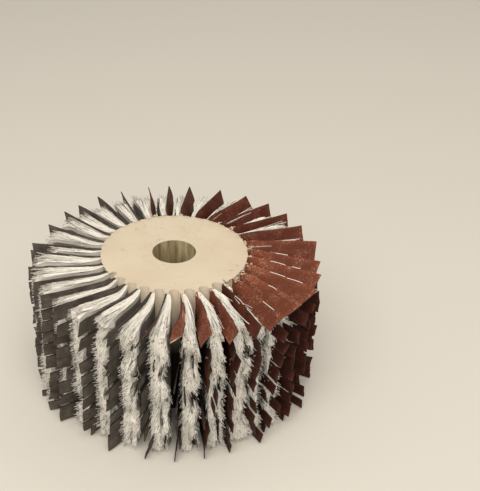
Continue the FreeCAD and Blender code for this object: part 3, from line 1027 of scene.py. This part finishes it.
@dataclass
class StrandTree:
    """Geometry nodes that grow crimped strands from a mesh.

    Faces of the mesh say how many strands they carry, how far these splay, how long and thick
    they are and where they point, in the attributes strand_density, strand_splay,
    strand_length, strand_thick and strand_way.
    """

    name: str = "crimped_strands"
    sides: int = 3
    tree: bpy.types.NodeTree | None = None
    sockets: dict[str, str] = field(default_factory=dict)

    def build(self) -> bpy.types.NodeTree:
        """Make the tree, with a named input for each size."""
        tree = bpy.data.node_groups.new(self.name, "GeometryNodeTree")
        self.tree = tree
        interface = tree.interface
        interface.new_socket("Geometry", in_out="INPUT", socket_type="NodeSocketGeometry")
        interface.new_socket("Geometry", in_out="OUTPUT", socket_type="NodeSocketGeometry")
        for name, kind, value in (
                ("Strands per square metre", "NodeSocketFloat", 7e5),
                ("Strand thickness", "NodeSocketFloat", 0.5 * MM),
                ("Splay", "NodeSocketFloat", 0.3),
                ("Station spacing", "NodeSocketFloat", 2.0 * MM),
                ("Crimp", "NodeSocketFloat", 0.8 * MM),
                ("Seed", "NodeSocketInt", 1),
                ("Finish", "NodeSocketMaterial", None)):
            socket = interface.new_socket(name, in_out="INPUT", socket_type=kind)
            if value is not None:
                socket.default_value = value
            self.sockets[name] = socket.identifier
        source = add_node(tree, "NodeGroupInput").outputs

        def attribute(name: str, kind: str) -> bpy.types.NodeSocket:
            """Read a named attribute."""
            return add_node(tree, "GeometryNodeInputNamedAttribute", {"Name": name},
                            data_type=kind).outputs["Attribute"]

        def math_node(operation: str, first: object, second: object) -> bpy.types.NodeSocket:
            """Work out one number from two."""
            return add_node(tree, "ShaderNodeMath", {0: first, 1: second},
                            operation=operation).outputs[0]

        density = math_node("MULTIPLY", attribute("strand_density", "FLOAT"),
                            source["Strands per square metre"])
        points = add_node(tree, "GeometryNodeDistributePointsOnFaces", {
            "Mesh": source["Geometry"], "Density": density, "Seed": source["Seed"]})
        stray = add_node(tree, "FunctionNodeRandomValue", {
            0: (-1.0, -1.0, -1.0), 1: (1.0, 1.0, 1.0), "Seed": source["Seed"]},
            data_type="FLOAT_VECTOR")
        splay = math_node("MULTIPLY", attribute("strand_splay", "FLOAT"), source["Splay"])
        stray = add_node(tree, "ShaderNodeVectorMath", {
            0: stray.outputs[0], "Scale": splay}, operation="SCALE")
        way = add_node(tree, "ShaderNodeVectorMath", {
            0: attribute("strand_way", "FLOAT_VECTOR"), 1: stray.outputs[0]},
            operation="ADD")
        turn = add_node(tree, "FunctionNodeAlignRotationToVector", {
            "Vector": way.outputs[0]}, axis="Z")
        vary = add_node(tree, "FunctionNodeRandomValue", {
            2: 0.6, 3: 1.3, "Seed": source["Seed"]}, data_type="FLOAT")
        length = math_node("MULTIPLY", attribute("strand_length", "FLOAT"), vary.outputs[1])
        scale = add_node(tree, "ShaderNodeCombineXYZ", {0: 1.0, 1: 1.0, 2: length})
        straight = add_node(tree, "GeometryNodeCurvePrimitiveLine", {
            "Start": (0.0, 0.0, -0.12), "End": (0.0, 0.0, 1.0)})
        strands = add_node(tree, "GeometryNodeInstanceOnPoints", {
            "Points": points.outputs["Points"], "Instance": straight.outputs[0],
            "Rotation": turn.outputs[0], "Scale": scale.outputs[0]})
        loose = add_node(tree, "GeometryNodeRealizeInstances", {0: strands.outputs[0]})
        fine = add_node(tree, "GeometryNodeResampleCurve", {
            "Curve": loose.outputs[0], "Length": source["Station spacing"]}, mode="LENGTH")
        along = add_node(tree, "GeometryNodeSplineParameter").outputs["Factor"]
        wave = add_node(tree, "ShaderNodeTexNoise", {"Scale": 420.0, "Detail": 1.0})
        centred = add_node(tree, "ShaderNodeVectorMath", {
            0: wave.outputs["Color"], 1: (0.5, 0.5, 0.5)}, operation="SUBTRACT")
        reach = math_node("MULTIPLY", along, source["Crimp"])
        shift = add_node(tree, "ShaderNodeVectorMath", {
            0: centred.outputs[0], "Scale": math_node("MULTIPLY", reach, 3.0)},
            operation="SCALE")
        crimped = add_node(tree, "GeometryNodeSetPosition", {
            "Geometry": fine.outputs[0], "Offset": shift.outputs[0]})
        # Strands that would pass through the floor lie on it instead.
        here = add_node(tree, "ShaderNodeSeparateXYZ", {
            0: add_node(tree, "GeometryNodeInputPosition").outputs[0]}).outputs
        above = add_node(tree, "ShaderNodeCombineXYZ", {
            0: here["X"], 1: here["Y"], 2: math_node("MAXIMUM", here["Z"], 0.4 * MM)})
        crimped = add_node(tree, "GeometryNodeSetPosition", {
            "Geometry": crimped.outputs[0], "Position": above.outputs[0]})
        taper = math_node("SUBTRACT", 1.0, math_node("MULTIPLY", along, 0.75))
        taper = math_node("MULTIPLY", taper, attribute("strand_thick", "FLOAT"))
        tapered = add_node(tree, "GeometryNodeSetCurveRadius", {
            "Curve": crimped.outputs[0], "Radius": taper})
        section = add_node(tree, "GeometryNodeCurvePrimitiveCircle", {
            "Resolution": self.sides,
            "Radius": math_node("MULTIPLY", source["Strand thickness"], 0.5)})
        tubes = add_node(tree, "GeometryNodeCurveToMesh", {
            "Curve": tapered.outputs[0], "Profile Curve": section.outputs[0],
            "Fill Caps": True})
        plain = add_node(tree, "GeometryNodeRealizeInstances", {0: tubes.outputs[0]})
        dressed = add_node(tree, "GeometryNodeSetMaterial", {
            "Geometry": plain.outputs[0], "Material": source["Finish"]})
        add_node(tree, "NodeGroupOutput", {"Geometry": dressed.outputs[0]})
        return tree

    def grow(self, carrier: bpy.types.Object, name: str, **sizes: object
             ) -> bpy.types.Object:
        """Grow strands on a carrier and keep them as a plain mesh.

        Args:
            carrier: Object whose faces carry the attributes.
            name: Name of the new object.
            sizes: Values of the tree's inputs, with low lines for spaces.

        Returns:
            The strands' object.
        """
        inputs = {self.sockets[key.replace("_", " ")]: value for key, value in sizes.items()}
        piece = grow_piece(carrier.data, name, self.tree, inputs)
        layers = piece.data.attributes
        for spare in [layer.name for layer in layers if layer.name.startswith("strand_")]:
            layers.remove(layers[spare])
        return piece


@dataclass
class FibrePack:
    """Fibre behind one row's cloth. Lengths are in millimetres."""

    row: Row
    following: Row               # whose top flap lies on this pack
    bottom: float = 2.0
    top: float = 98.4
    root_thickness: float = 1.5
    fan_power: float = 0.72      # under one, the pack opens quickly at the rim
    end_length: float = 2.8      # of the strands on its end
    lying_length: float = 15.0   # of the strands on its top
    lock_length: float = 4.2     # of the spiky locks round its end
    slant: float = 0.45          # of the streaks on its end, across over down
    end_stretch: float = 5.0     # of those streaks, length over width
    flap_gap: float = 3.2        # kept under the flap
    root_length: float = 9.0     # over which the fibre leaves the rim straight
    bend_length: float = 13.0
    steps_along: int = 14
    steps_across: int = 8
    steps_up: int = 30
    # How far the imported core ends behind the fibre's CAD solid, and how far its top lies
    # under the top of the cloth, by azimuth.
    set_back: tuple[tuple[float, float], ...] = (
        (-180, 2.5), (-168, 0.3), (-157, -1.2), (-150, -0.5), (-141, 3.0), (-130, 6.0),
        (-118, 5.5), (-107, 4.5), (-96, 4.5), (-84, 3.0), (-62, 3.5), (-50, 3.5), (-40, 4.5),
        (-30, 8.0), (0, 9.0), (20, 6.0), (60, 3.0), (150, 3.0), (180, 3.0))
    sunk: tuple[tuple[float, float], ...] = (
        (-180, 0.8), (-163, 0.8), (-152, 1.2), (-141, 3.6), (-129, 3.2), (-118, 1.0),
        (-107, 3.0), (-96, 2.2), (-84, 0.8), (-60, 0.6), (6, 0.6), (17, 3.5), (28, 1.8),
        (40, 2.4), (62, 2.4), (90, 1.6), (110, 2.2), (150, 1.8), (180, 0.8))

    # How deep and dark the splits of the end are, by azimuth.
    split: tuple[tuple[float, float], ...] = (
        (-150, 0.0), (-125, 0.8), (-100, 1.0), (-55, 1.0), (-40, 0.5), (0, 0.0))

    def __post_init__(self) -> None:
        """Work out what stays the same over the pack."""
        self._flap_turn, self._flap_width = AbrasiveStrip(self.following).flap()
        self._turned_by = blend(AbrasiveStrip.top_turned_by, self.following.azimuth)
        row = self.row
        along = row.corner.dot(row.heading)
        radius = row.fibre_radius - blend(self.set_back, row.azimuth)
        self._reach = -along + math.sqrt(along ** 2 + radius ** 2 - row.corner.dot(row.corner))
        luck = noise.noise(Vector((row.number * 13.7, 0.5, 0.5)))
        self._sunk = blend(self.sunk, row.azimuth) * (1 + 0.5 * luck)

    def _spine(self, share: float) -> tuple[Vector, Vector]:
        """Place and direction on the cloth side of the pack."""
        row = self.row
        start = Vector((row.corner.x - 2.2, row.corner.y + 0.1, 0))
        first = Vector((math.cos(math.radians(row.lean * 0.6)),
                        math.sin(math.radians(row.lean * 0.6)), 0))
        end = row.corner + row.heading * self._reach
        path = (start, start + first * self.root_length,
                end - row.heading * self.bend_length, end)
        return bezier(path, share)

    def _ceiling(self, along: float, depth: float) -> tuple[float, float]:
        """Height of the pack's top, and how much the next row's flap covers it there."""
        reach = along * self._reach
        space = self.row.space_to(self.following, reach)
        turned = self._flap_turn * smooth(0.0, self._turned_by, reach / 48.0)
        free = self.top - self._sunk * smooth(0.0, 0.25, along)
        if turned < math.radians(8):
            return free, 0.0
        covered = self._flap_width * math.sin(turned)
        under = self.top + 0.6 - (space - depth) / math.tan(turned) - self.flap_gap
        lowest = self.top + 0.6 - self._flap_width * math.cos(turned) - self.flap_gap
        inside = smooth(space - covered - 2.5, space - covered - 0.5, depth)
        # Where the flaps lie edge to edge, nothing stands up between them.
        flat = smooth(math.radians(52), math.radians(60), self._flap_turn)
        inside = max(inside, smooth(8.2, 6.2, space - covered) * flat)
        return min(free, free + (max(under, lowest) - free) * inside), inside

    def _split(self, across: float, up: float) -> float:
        """How deep a spot of the end lies in a split, from none to one."""
        spot = Vector((across * 2.6 + self.row.number * 4.1, up * 6.0, 3.0))
        deep = smooth(0.0, 0.25, noise.noise(spot)) * smooth(1.0, 0.85, up)
        # They open on the far side, where the next row's cloth pulls away.
        return deep * smooth(0.35, 0.75, across) * blend(self.split, self.row.azimuth)

    def point(self, along: float, across: float, up: float) -> Vector:
        """A point of the pack's core, from shares of its three directions.

        Args:
            along: Share from the rim to the ends.
            across: Share from the cloth to the far side.
            up: Share from the bottom to the top.

        Returns:
            The point in the row's frame.
        """
        place, direction = self._spine(along)
        back = Vector((-direction.y, direction.x, 0))
        height = self.bottom + (self.top - self.bottom) * up
        number = self.row.number
        spread = self.root_thickness + (self.row.thickness - self.root_thickness) \
            * along ** self.fan_power
        seed = Vector((number * 7.3, height * 0.07, along * 2.0))
        spread *= 1 + 0.42 * noise.noise(seed) * smooth(0.2, 0.9, along)
        depth = 0.12 + spread * across
        rough = noise.noise(Vector((number * 3.1, height * 0.20, across * 2))) * 2.0
        rough -= 5.0 * smooth(0.15, 0.6, noise.noise(Vector((number * 5.9, height * 0.07, 0))))
        rough -= 5.0 * self._split(across, up)
        bulge = 1.2 * math.sin(math.pi * across) * smooth(0.7, 1.0, along)
        point = place + back * depth + direction * ((rough + bulge) * smooth(0.75, 1, along))
        # Near the top the whole pack sinks under the flap, and its top falls into locks.
        ceiling, _ = self._ceiling(along, depth)
        lock = noise.noise(Vector((across * 3.2 + number * 5.0, along * 0.9, 7.0)))
        ceiling += (lock * 1.5 - 0.4) * smooth(0.05, 0.35, along)
        ceiling -= 2.2 * smooth(0.8, 1.0, along) ** 2
        sinking = smooth(0.62, 1.0, up)
        point.z = height - (self.top - ceiling) * sinking
        point.z += 0.6 * smooth(0.1, 1.0, along) * smooth(0.2, 0.0, up)
        return point

    def add_to(self, draft: MeshDraft, strands: dict[str, list]) -> None:
        """Add the core to a draft and say what its faces carry.

        Args:
            draft: Mesh that is being made.
            strands: Lists of the strands' density, splay, length, thickness and way, and of
                the light that the core sees, with one entry for each face.
        """
        counts = (self.steps_along, self.steps_across, self.steps_up)
        numbers: dict[tuple[int, int, int], int] = {}

        def corner(spot: tuple[int, int, int]) -> int:
            """Number of the corner at a grid spot, made when first asked for."""
            if spot not in numbers:
                shares = [part / count for part, count in zip(spot, counts)]
                numbers[spot] = len(draft.corners)
                draft.corners.append(self.row.turn @ self.point(*shares))
            return numbers[spot]

        for axis in range(3):
            first, second = (axis + 1) % 3, (axis + 2) % 3
            for level in (0, counts[axis]):
                for one in range(counts[first]):
                    for two in range(counts[second]):
                        ring = []
                        for add_one, add_two in ((0, 0), (1, 0), (1, 1), (0, 1)):
                            spot = [0, 0, 0]
                            spot[axis] = level
                            spot[first] = one + add_one
                            spot[second] = two + add_two
                            ring.append(tuple(spot))
                        if level == 0:
                            ring.reverse()
                        self._add_face(draft, strands, corner, axis, level, ring, counts)

    def _add_face(self, draft: MeshDraft, strands: dict[str, list],
                  corner: Callable[[tuple[int, int, int]], int],
                  axis: int, level: int, ring: list[tuple[int, int, int]],
                  counts: tuple[int, int, int]) -> None:
        """Add one face with its UVs and the strands that it carries."""
        shares = [[part / count for part, count in zip(spot, counts)] for spot in ring]
        middle = [sum(column) / 4 for column in zip(*shares)]
        span = self.row.thickness
        length, height = self._reach, self.top - self.bottom
        if axis == 0:
            # On the ends the streaks are short, and slant down to the sides.
            uv = [(share[1] * span - self.slant * share[2] * height,
                   share[2] * height * PackedFibreFinish.stretch / self.end_stretch)
                  for share in shares]
        elif axis == 1:
            uv = [(share[2] * height, share[0] * length) for share in shares]
        else:
            uv = [(share[1] * span * (0.3 + 0.7 * middle[0]), share[0] * length)
                  for share in shares]
        draft.add(tuple(corner(spot) for spot in ring), 0, uv)
        _, direction = self._spine(middle[0])
        back = Vector((-direction.y, direction.x, 0))
        near_end = middle[0] > 1 - 2.5 / self.steps_along
        _, covered = self._ceiling(middle[0], 0.12 + span * middle[1])
        covered *= middle[2] > 0.8
        density, size, splay, thick, way = 0.0, self.lying_length, 0.2, 1.0, direction
        if axis == 0 and level:
            closed = 1 - self._split(middle[1], middle[2])
            density, size, splay, thick = 0.4 * closed ** 2, self.end_length, 0.9, 1.7
            way = direction + back * (1.2 * (middle[1] - 0.5)) - UP * (0.3 + 0.8 * covered)
        elif axis == 2:
            step = 1 / self.steps_along
            ahead = self.point(min(1.0, middle[0] + step), middle[1], float(level > 0))
            way = ahead - self.point(max(0.0, middle[0] - step), middle[1], float(level > 0))
            way.normalize()
            density = 0.1
            if level:
                flat = smooth(math.radians(50), math.radians(60), self._flap_turn)
                density = 0.30 * (1 - covered) * (1 - flat * (middle[0] < 0.75))
                density *= smooth(0.1, 0.35, middle[0])
            size = min(size, (1 - middle[0]) * length + 1.5)
            splay = 0.5 if near_end else 0.2
        elif axis == 1 and near_end:
            aside = back if level else back * -0.8
            density, size, splay, thick = 0.13 * (1 - covered), self.lock_length, 0.9, 3.2
            way = direction + aside * 0.45 - UP * 0.15
        strands["density"].append(density)
        strands["splay"].append(splay)
        strands["length"].append(size * MM)
        strands["thick"].append(thick)
        # Little light comes back from the fibre deep between the packs and in the splits.
        seen = 1.0
        if axis == 1:
            seen = max(0.22, smooth(0.84, 1.0, middle[0]), smooth(0.93, 1.0, middle[2]))
        elif axis == 0 and level:
            seen = (1 - self._split(middle[1], middle[2])) ** 2
        strands["seen"].append(seen)
        strands["way"].extend(self.row.turn @ way)


@dataclass
class FibreRing:
    """All the fibre packs, one piece for each CAD node of two packs."""

    rows: list[Row]
    tree: StrandTree
    packed: bpy.types.Material
    strand: bpy.types.Material
    strands_per_mm2: float = 1.1
    strand_thickness: float = 0.28

    def build(self) -> None:
        """Make the cores and their strands, and have them stand for the CAD nodes."""
        for first in range(0, len(self.rows), 2):
            pair = self.rows[first:first + 2]
            label = f"{pair[0].number:02d}_{pair[1].number:02d}"
            draft = MeshDraft()
            strands: dict[str, list] = {
                "density": [], "splay": [], "length": [], "thick": [], "seen": [],
                "way": []}
            for row in pair:
                following = self.rows[row.number % len(self.rows)]
                FibrePack(row, following).add_to(draft, strands)
            core = draft.build(f"fibre_core_{label}", [self.packed])
            for name, kind, values in (("strand_density", "FLOAT", strands["density"]),
                                       ("strand_splay", "FLOAT", strands["splay"]),
                                       ("strand_length", "FLOAT", strands["length"]),
                                       ("strand_thick", "FLOAT", strands["thick"]),
                                       ("fibre_seen", "FLOAT", strands["seen"]),
                                       ("strand_way", "FLOAT_VECTOR", strands["way"])):
                layer = core.data.attributes.new(name, kind, "FACE")
                layer.data.foreach_set("vector" if kind == "FLOAT_VECTOR" else "value", values)
            ends = self.tree.grow(
                core, f"fibre_strands_{label}",
                Strands_per_square_metre=self.strands_per_mm2 / MM ** 2,
                Strand_thickness=self.strand_thickness * MM, Splay=0.35, Crimp=0.22 * MM,
                Seed=pair[0].number, Finish=self.strand)
            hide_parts(f"fibre_packs_{label}")
            for piece in (core, ends):
                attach(piece, BODY)
            LOG.info("fibre packs %s: %d faces of strands", label, len(ends.data.polygons))


@dataclass
class ClothRing:
    """All the strips of abrasive cloth."""

    rows: list[Row]
    finishes: list[bpy.types.Material]
    seed: int = 11

    def build(self) -> None:
        """Make the strips and have each stand for its CAD node."""
        dice = random.Random(self.seed)
        for row in self.rows:
            piece = AbrasiveStrip(row).build(dice, self.finishes)
            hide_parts(f"abrasive_strip_{row.number:02d}")
            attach(piece, BODY)
        LOG.info("abrasive strips: %d", len(self.rows))


@dataclass
class LooseThreads:
    """Fibres that have come out over the upper edges of the flat flaps, in millimetres."""

    rows: list[Row]
    finish: bpy.types.Material
    seed: int = 3
    azimuths: tuple[float, float] = (-65.0, 15.0)
    per_row: int = 2
    thickness: float = 0.45
    starts: tuple[float, float] = (14.0, 38.0)
    lengths: tuple[float, float] = (4.0, 12.0)
    height: float = 99.4
    farthest: float = 47.0       # from the rim
    stations: int = 6
    sides: int = 4

    def build(self) -> bpy.types.Object:
        """Make the threads as one piece that rides with the brush."""
        dice = random.Random(self.seed)
        draft = MeshDraft()
        low, high = self.azimuths
        for row in self.rows:
            for _ in range(self.per_row if low < row.azimuth < high else 0):
                self._add_thread(draft, row, dice)
        piece = draft.build("loose_threads", [self.finish])
        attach(piece, BODY)
        LOG.info("loose threads: %d faces", len(draft.faces))
        return piece

    def _add_thread(self, draft: MeshDraft, row: Row, dice: random.Random) -> None:
        """Add one closed, slightly bent tube that lies along the row's upper edge."""
        start, length = dice.uniform(*self.starts), dice.uniform(*self.lengths)
        aside, skew, bow = (dice.uniform(-0.5, 0.5), dice.uniform(-0.05, 0.05),
                            dice.uniform(-0.8, 0.8))
        side_way = row.turn @ Vector((-row.heading.y, row.heading.x, 0))
        base = len(draft.corners)
        for station in range(self.stations):
            share = station / (self.stations - 1)
            reach = min(start + length * share, self.farthest)
            middle = row.at_reach(reach) + UP * self.height
            middle += side_way * (aside + skew * length * share
                                  + bow * math.sin(math.pi * share))
            for side in range(self.sides):
                angle = math.tau * side / self.sides
                draft.corners.append(middle + (side_way * math.cos(angle)
                                               + UP * math.sin(angle)) * self.thickness / 2)
        for station in range(self.stations - 1):
            for side in range(self.sides):
                after = (side + 1) % self.sides
                here = base + station * self.sides
                draft.add((here + side, here + after, here + self.sides + after,
                           here + self.sides + side), 0, [(0.0, 0.0)] * 4)
        last = base + (self.stations - 1) * self.sides
        draft.add(tuple(base + side for side in reversed(range(self.sides))), 0,
                  [(0.0, 0.0)] * self.sides)
        draft.add(tuple(last + side for side in range(self.sides)), 0,
                  [(0.0, 0.0)] * self.sides)


@dataclass
class RimFlash:
    """Ragged film of resin that bridges the flutes at the rim, where the casting overflowed.

    Lengths are in millimetres, and azimuths in degrees.
    """

    finish: bpy.types.Material
    first: float = -47.0
    last: float = 212.0
    inner: float = 45.5
    outer: float = 50.4
    ragged: float = 0.9
    face_height: float = 100.0   # of the hub's upper face
    under_face: float = 0.06
    depth: float = 0.8
    step_deg: float = 1.0

    def build(self) -> bpy.types.Object:
        """Make the film as one closed piece that rides with the brush."""
        count = round((self.last - self.first) / self.step_deg)
        top = self.face_height - self.under_face
        draft = MeshDraft()
        for step in range(count + 1):
            angle = math.radians(self.first + step * self.step_deg)
            way = Vector((math.cos(angle), math.sin(angle), 0))
            edge = self.outer + self.ragged * noise.noise(way * 23.0)
            edge += 0.5 * self.ragged * noise.noise(way * 60.0)
            for radius, height in ((self.inner, top - self.depth), (edge - 0.3, top - self.depth),
                                   (edge, top - 0.4 * self.depth), (edge - 0.4, top),
                                   (self.inner, top)):
                draft.corners.append(way * radius + UP * height)
        for step in range(count):
            for side in range(5):
                after = (side + 1) % 5
                ring = (step * 5 + side, step * 5 + 5 + side, step * 5 + 5 + after,
                        step * 5 + after)
                draft.add(ring, 0, [(0.0, 0.0)] * 4)
        draft.add(tuple(range(5)), 0, [(0.0, 0.0)] * 5)
        draft.add(tuple(count * 5 + side for side in reversed(range(5))), 0,
                  [(0.0, 0.0)] * 5)
        piece = draft.build("rim_flash", [self.finish])
        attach(piece, BODY)
        LOG.info("rim flash: %d faces", len(draft.faces))
        return piece


@dataclass
class RootBeads:
    """Beads of resin that crept up the roots of the rows. Lengths are in millimetres."""

    rows: list[Row]
    finish: bpy.types.Material
    seed: int = 5
    per_row: int = 3
    radius: float = 1.1
    lumps: float = 1.5           # how far noise pushes a bead out of round
    heights: tuple[float, float] = (97.6, 98.9)
    from_rim: tuple[float, float] = (-1.2, 2.6)
    from_cloth: tuple[float, float] = (-1.6, 1.8)
    azimuths: tuple[float, float] = (-80.0, 110.0)

    def _tree(self) -> tuple[bpy.types.NodeTree, dict[str, str]]:
        """Make geometry nodes that put a lumpy bead on each point."""
        tree = bpy.data.node_groups.new("root_beads", "GeometryNodeTree")
        tree.interface.new_socket("Geometry", in_out="INPUT",
                                  socket_type="NodeSocketGeometry")
        tree.interface.new_socket("Geometry", in_out="OUTPUT",
                                  socket_type="NodeSocketGeometry")
        names = {}
        for name, kind in (("Radius", "NodeSocketFloat"), ("Lumps", "NodeSocketFloat"),
                           ("Seed", "NodeSocketInt"), ("Finish", "NodeSocketMaterial")):
            names[name] = tree.interface.new_socket(
                name, in_out="INPUT", socket_type=kind).identifier
        source = add_node(tree, "NodeGroupInput").outputs
        ball = add_node(tree, "GeometryNodeMeshIcoSphere", {
            "Radius": source["Radius"], "Subdivisions": 2})
        spin = add_node(tree, "FunctionNodeRandomValue", {
            0: (0.0, 0.0, 0.0), 1: (6.28, 6.28, 6.28), "Seed": source["Seed"]},
            data_type="FLOAT_VECTOR")
        size = add_node(tree, "FunctionNodeRandomValue", {
            0: (0.5, 0.5, 0.5), 1: (1.4, 1.2, 1.0), "Seed": source["Seed"]},
            data_type="FLOAT_VECTOR")
        beads = add_node(tree, "GeometryNodeInstanceOnPoints", {
            "Points": source["Geometry"], "Instance": ball.outputs["Mesh"],
            "Rotation": spin.outputs[0], "Scale": size.outputs[0]})
        plain_mesh = add_node(tree, "GeometryNodeRealizeInstances", {0: beads.outputs[0]})
        cloud = add_node(tree, "ShaderNodeTexNoise", {"Scale": 700.0})
        centred = add_node(tree, "ShaderNodeVectorMath", {
            0: cloud.outputs["Color"], 1: (0.5, 0.5, 0.5)}, operation="SUBTRACT")
        shift = add_node(tree, "ShaderNodeVectorMath", {
            0: centred.outputs[0], "Scale": source["Lumps"]}, operation="SCALE")
        lumpy = add_node(tree, "GeometryNodeSetPosition", {
            "Geometry": plain_mesh.outputs[0], "Offset": shift.outputs[0]})
        soft = add_node(tree, "GeometryNodeSetShadeSmooth", {"Geometry": lumpy.outputs[0]})
        dressed = add_node(tree, "GeometryNodeSetMaterial", {
            "Geometry": soft.outputs[0], "Material": source["Finish"]})
        add_node(tree, "NodeGroupOutput", {"Geometry": dressed.outputs[0]})
        return tree, names

    def build(self) -> bpy.types.Object:
        """Make the beads as one plain mesh that rides with the brush."""
        dice = random.Random(self.seed)
        spots = []
        low, high = self.azimuths
        for row in self.rows:
            for _ in range(self.per_row if low < row.azimuth < high else 0):
                spot = row.corner + Vector((dice.uniform(*self.from_rim),
                                            dice.uniform(*self.from_cloth),
                                            dice.uniform(*self.heights)))
                spots.append(tuple(row.turn @ spot * MM))
        mesh = bpy.data.meshes.new("root_bead_points")
        mesh.from_pydata(spots, [], [])
        tree, names = self._tree()
        piece = grow_piece(mesh, "root_beads", tree, {
            names["Radius"]: self.radius * MM, names["Lumps"]: self.lumps * MM,
            names["Seed"]: self.seed, names["Finish"]: self.finish})
        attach(piece, BODY)
        LOG.info("root beads: %d faces", len(piece.data.polygons))
        return piece


@dataclass
class Hub:
    """The cast hub, which keeps its CAD shape."""

    node: bpy.types.Object
    finish: bpy.types.Material

    def dress(self) -> None:
        """Give the hub its finish."""
        self.node.data.materials.clear()
        self.node.data.materials.append(self.finish)
        LOG.info("hub dressed")


@dataclass
class Studio:
    """Floor, lights and camera. The camera stands as the photograph's did."""

    elevation: float = 31.654    # degrees above the floor
    distance: float = 617.86     # to the middle of the hub's upper face
    target_height: float = 99.7
    focal_pixels: float = 902.97
    image_width: float = 480.0
    image_height: float = 491.0
    centre_x: float = 174.125    # where the camera's axis meets the picture
    centre_y: float = 251.88
    sensor: float = 36.0
    floor_half: float = 4.0      # metres
    light_colour: str = "#fff7ea"
    sky_strength: float = 0.43

    def build(self) -> None:
        """Make the floor, the lights and the camera."""
        self._floor()
        self._lights()
        self._camera()

    def _floor(self) -> None:
        """Make a wide, plain floor under the brush."""
        mesh = bpy.data.meshes.new("floor")
        half = self.floor_half
        mesh.from_pydata([(-half, -half, 0), (half, -half, 0), (half, half, 0),
                          (-half, half, 0)], [], [(0, 1, 2, 3)])
        mesh.materials.append(FloorFinish().build())
        floor = bpy.data.objects.new("floor", mesh)
        bpy.context.scene.collection.objects.link(floor)

    def _lights(self) -> None:
        """Hang a large warm lamp in front, a little to the left, and a weak one behind."""
        colour = linear(self.light_colour)
        for name, place, size, watts in (
                ("key", (-0.15, -0.95, 1.35), 1.80, 23.0),
                ("fill", (0.6, 0.9, 1.4), 1.2, 2.5)):
            light = bpy.data.lights.new(name, "AREA")
            light.shape = "DISK"
            light.size = size
            light.energy = watts
            light.color = colour[:3]
            lamp = bpy.data.objects.new(name, light)
            lamp.location = place
            aim = Vector((0.02, 0, 0.05)) - Vector(place)
            lamp.rotation_euler = aim.to_track_quat("-Z", "Y").to_euler()
            bpy.context.scene.collection.objects.link(lamp)
        world = bpy.data.worlds.new("studio")
        world.use_nodes = True
        background = world.node_tree.nodes["Background"]
        background.inputs["Color"].default_value = colour
        background.inputs["Strength"].default_value = self.sky_strength
        bpy.context.scene.world = world
        bpy.context.scene.view_settings.view_transform = "Standard"

    def _camera(self) -> None:
        """Place the camera."""
        angle = math.radians(self.elevation)
        data = bpy.data.cameras.new("camera")
        data.sensor_fit = "HORIZONTAL"
        data.sensor_width = self.sensor
        data.lens = self.focal_pixels * self.sensor / self.image_width
        data.shift_x = (self.image_width / 2 - self.centre_x) / self.image_width
        data.shift_y = (self.centre_y - self.image_height / 2) / self.image_width
        camera = bpy.data.objects.new("camera", data)
        camera.location = (0, -self.distance * math.cos(angle) * MM,
                           (self.target_height + self.distance * math.sin(angle)) * MM)
        camera.rotation_euler = (math.pi / 2 - angle, 0, 0)
        bpy.context.scene.collection.objects.link(camera)
        bpy.context.scene.camera = camera


def plain(box: Iterable[Vector]) -> list[list[float]]:
    """Turn a box of vectors into lists of numbers."""
    return [[float(part) for part in corner] for corner in box]


def main() -> None:
    """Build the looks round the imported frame."""
    logging.basicConfig(level=logging.INFO, format="%(name)s: %(message)s")
    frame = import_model()
    rows = FrameReader().rows()
    resin = CastResinFinish().build()
    Hub(frame["nodes"]["hub"], resin).dress()
    RimFlash(resin).build()
    ClothRing(rows, [GritFinish().build(), BackingFinish().build(),
                     CutEdgeFinish().build()]).build()
    RootBeads(rows, SoakedResinFinish().build()).build()
    tree = StrandTree()
    tree.build()
    strand = FibreStrandFinish().build()
    LooseThreads(rows, strand).build()
    FibreRing(rows, tree, PackedFibreFinish().build(), strand).build()
    Studio().build()
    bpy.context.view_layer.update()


if __name__ == "__main__":
    main()
